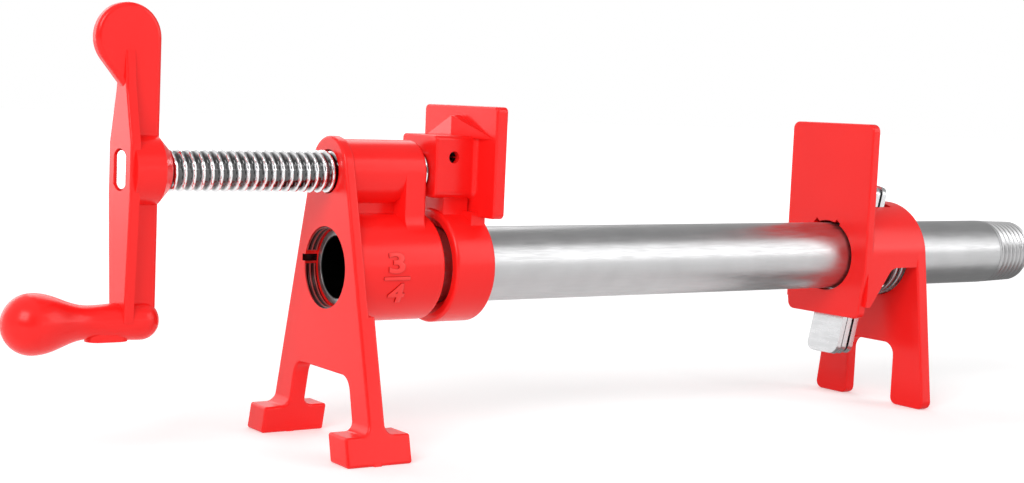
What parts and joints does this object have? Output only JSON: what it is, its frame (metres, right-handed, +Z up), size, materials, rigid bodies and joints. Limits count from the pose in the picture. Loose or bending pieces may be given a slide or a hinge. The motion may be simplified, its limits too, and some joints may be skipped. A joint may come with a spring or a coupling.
{
  "type": "pipe clamp",
  "caption": "Cast pipe clamp: a cranked spindle drives a sliding jaw along a steel pipe towards a tail jaw held by a disc clutch.",
  "frame": {"origin": "on the floor under the middle of the clamp's length, in its plane of symmetry", "axes": "+X along the pipe from the crank to the tail jaw, +Y across the clamp, +Z up from the feet to the jaws"},
  "size_m": [0.4576, 0.0724, 0.1458],
  "materials": {
    "red_coat": "gloss powder coat",
    "pipe_steel": "satin zinc",
    "spindle_steel": "bright plated",
    "disc_steel": "hardened, plated",
    "spring_steel": "drawn wire"
  },
  "bodies": {
    "frame": {"head_casting": "red_coat", "pipe": "pipe_steel"},
    "sliding_jaw": {"sliding_jaw": "red_coat", "retaining_pin": "spring_steel"},
    "spindle": {"spindle": "spindle_steel", "crank_handle": "red_coat"},
    "tail_jaw": {"tail_jaw": "red_coat", "clutch_spring": "spring_steel"},
    "disc_1": {"clutch_disc_1": "disc_steel"},
    "disc_2": {"clutch_disc_2": "disc_steel"},
    "disc_3": {"clutch_disc_3": "disc_steel"}
  },
  "joints": [
    {"name": "crank_turn", "type": "hinge", "parent": "sliding_jaw", "child": "spindle", "pos_m": [-0.1162, 0, 0.0935], "axis": [1, 0, 0], "range_deg": [0, 5040]},
    {"name": "jaw_slide", "type": "slide", "parent": "frame", "child": "sliding_jaw", "axis": [1, 0, 0], "range_m": [0, 0.04445]},
    {"name": "tail_slide", "type": "slide", "parent": "frame", "child": "tail_jaw", "axis": [1, 0, 0], "range_m": [-0.13, 0.055]},
    {"name": "disc_1_rock", "type": "hinge", "parent": "tail_jaw", "child": "disc_1", "pos_m": [0.13234, 0, 0.0805], "axis": [0, -1, 0], "range_deg": [0, 12], "stiffness_Nm_per_rad": 0.06, "springref_deg": -22.92},
    {"name": "disc_2_rock", "type": "hinge", "parent": "tail_jaw", "child": "disc_2", "pos_m": [0.13517, 0, 0.0805], "axis": [0, -1, 0], "range_deg": [0, 12], "stiffness_Nm_per_rad": 0.06, "springref_deg": -22.92},
    {"name": "disc_3_rock", "type": "hinge", "parent": "tail_jaw", "child": "disc_3", "pos_m": [0.13892, 0, 0.0805], "axis": [0, -1, 0], "range_deg": [0, 12], "stiffness_Nm_per_rad": 0.06, "springref_deg": -22.92, "deforming": ["clutch_spring"]}
  ],
  "couplings": [
    {"joint": "jaw_slide", "follows": "crank_turn", "m_per_rad": 0.00050532},
    {"joint": "disc_2_rock", "follows": "disc_1_rock", "ratio": 1},
    {"joint": "disc_3_rock", "follows": "disc_1_rock", "ratio": 1}
  ]
}
